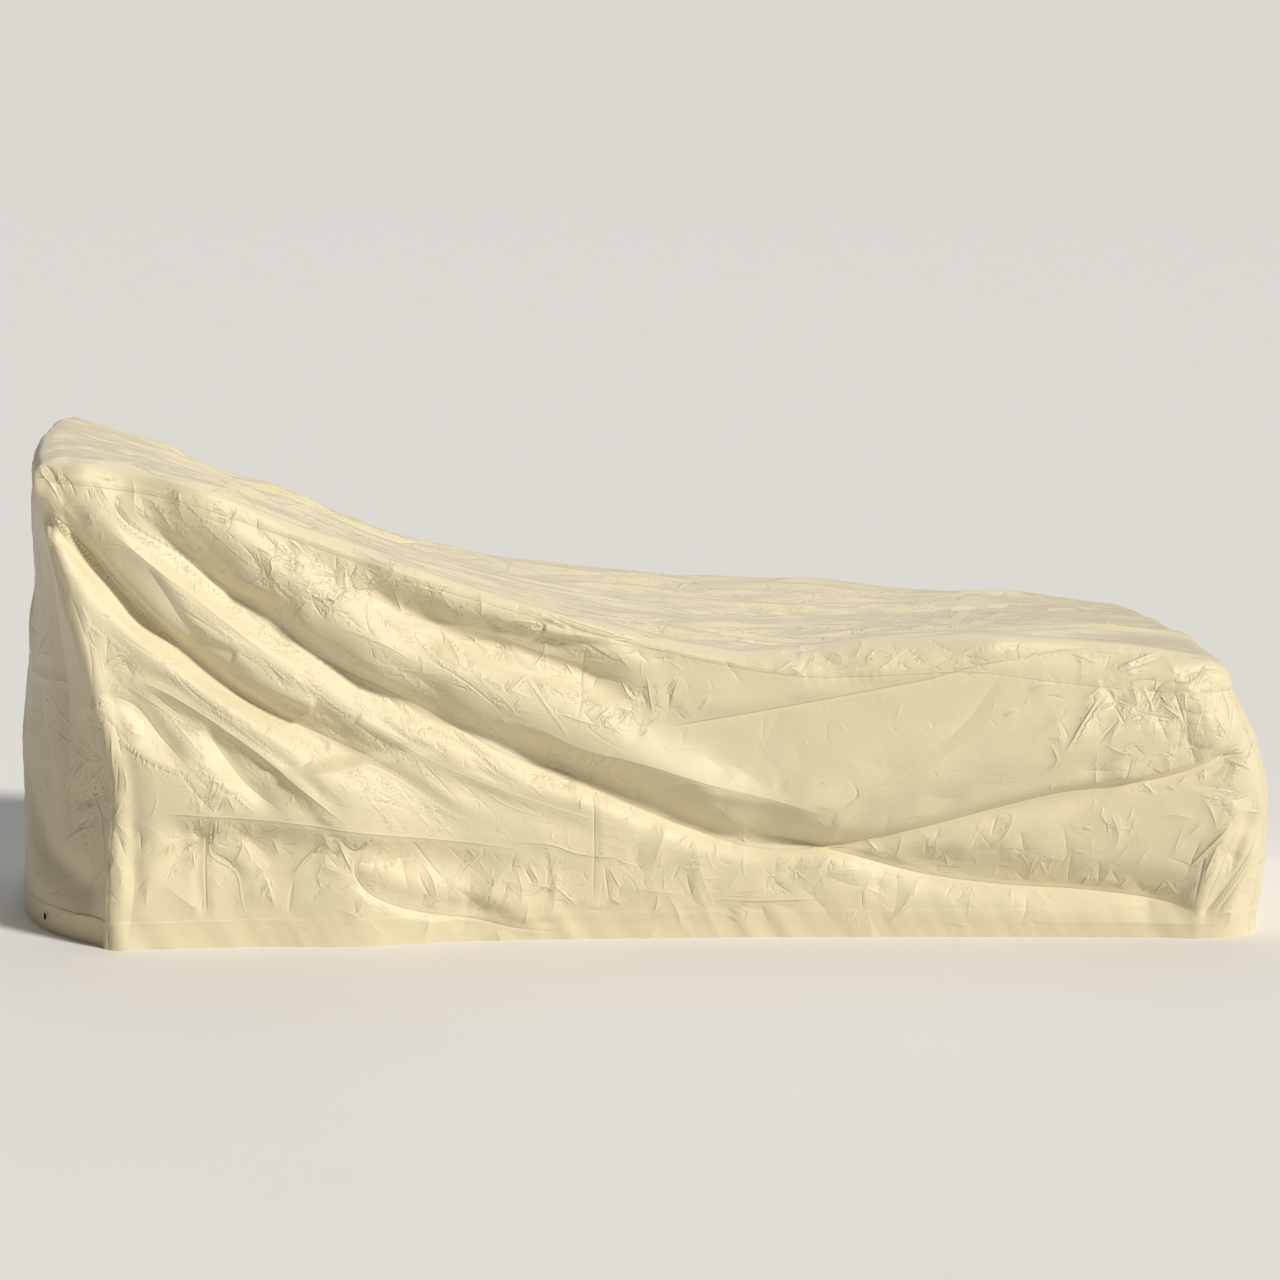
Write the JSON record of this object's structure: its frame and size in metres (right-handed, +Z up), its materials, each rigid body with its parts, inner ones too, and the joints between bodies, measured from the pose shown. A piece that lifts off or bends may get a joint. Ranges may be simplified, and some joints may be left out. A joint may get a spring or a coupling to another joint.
{
  "type": "lounge chair cover",
  "caption": "Fitted, hollow cover of beige polyester for a garden lounge chair, draped in its folds, high at the head end and low over the seat and foot.",
  "frame": {"origin": "middle of the cover's outline at the level of its hem, z = 0 where the hem meets the ground", "axes": "+X along the chair from its head end to its foot end, +Y from the near side to the far side, +Z up"},
  "size_m": [2.0446, 0.7906, 0.7785],
  "materials": {
    "cover_cloth": "coated polyester, plain fine weave, faint satin sheen, khaki beige",
    "hem_cloth": "the same cloth turned and stitched as a hem",
    "eyelet_metal": "pressed and plated, slightly dull"
  },
  "bodies": {
    "root": {"near_side_panel": "cover_cloth", "far_side_panel": "cover_cloth", "top_panel": "cover_cloth", "head_end_panel": "cover_cloth", "foot_end_panel": "cover_cloth", "head_hem_strip": "hem_cloth", "eyelet_ring": "eyelet_metal"}
  },
  "joints": []
}
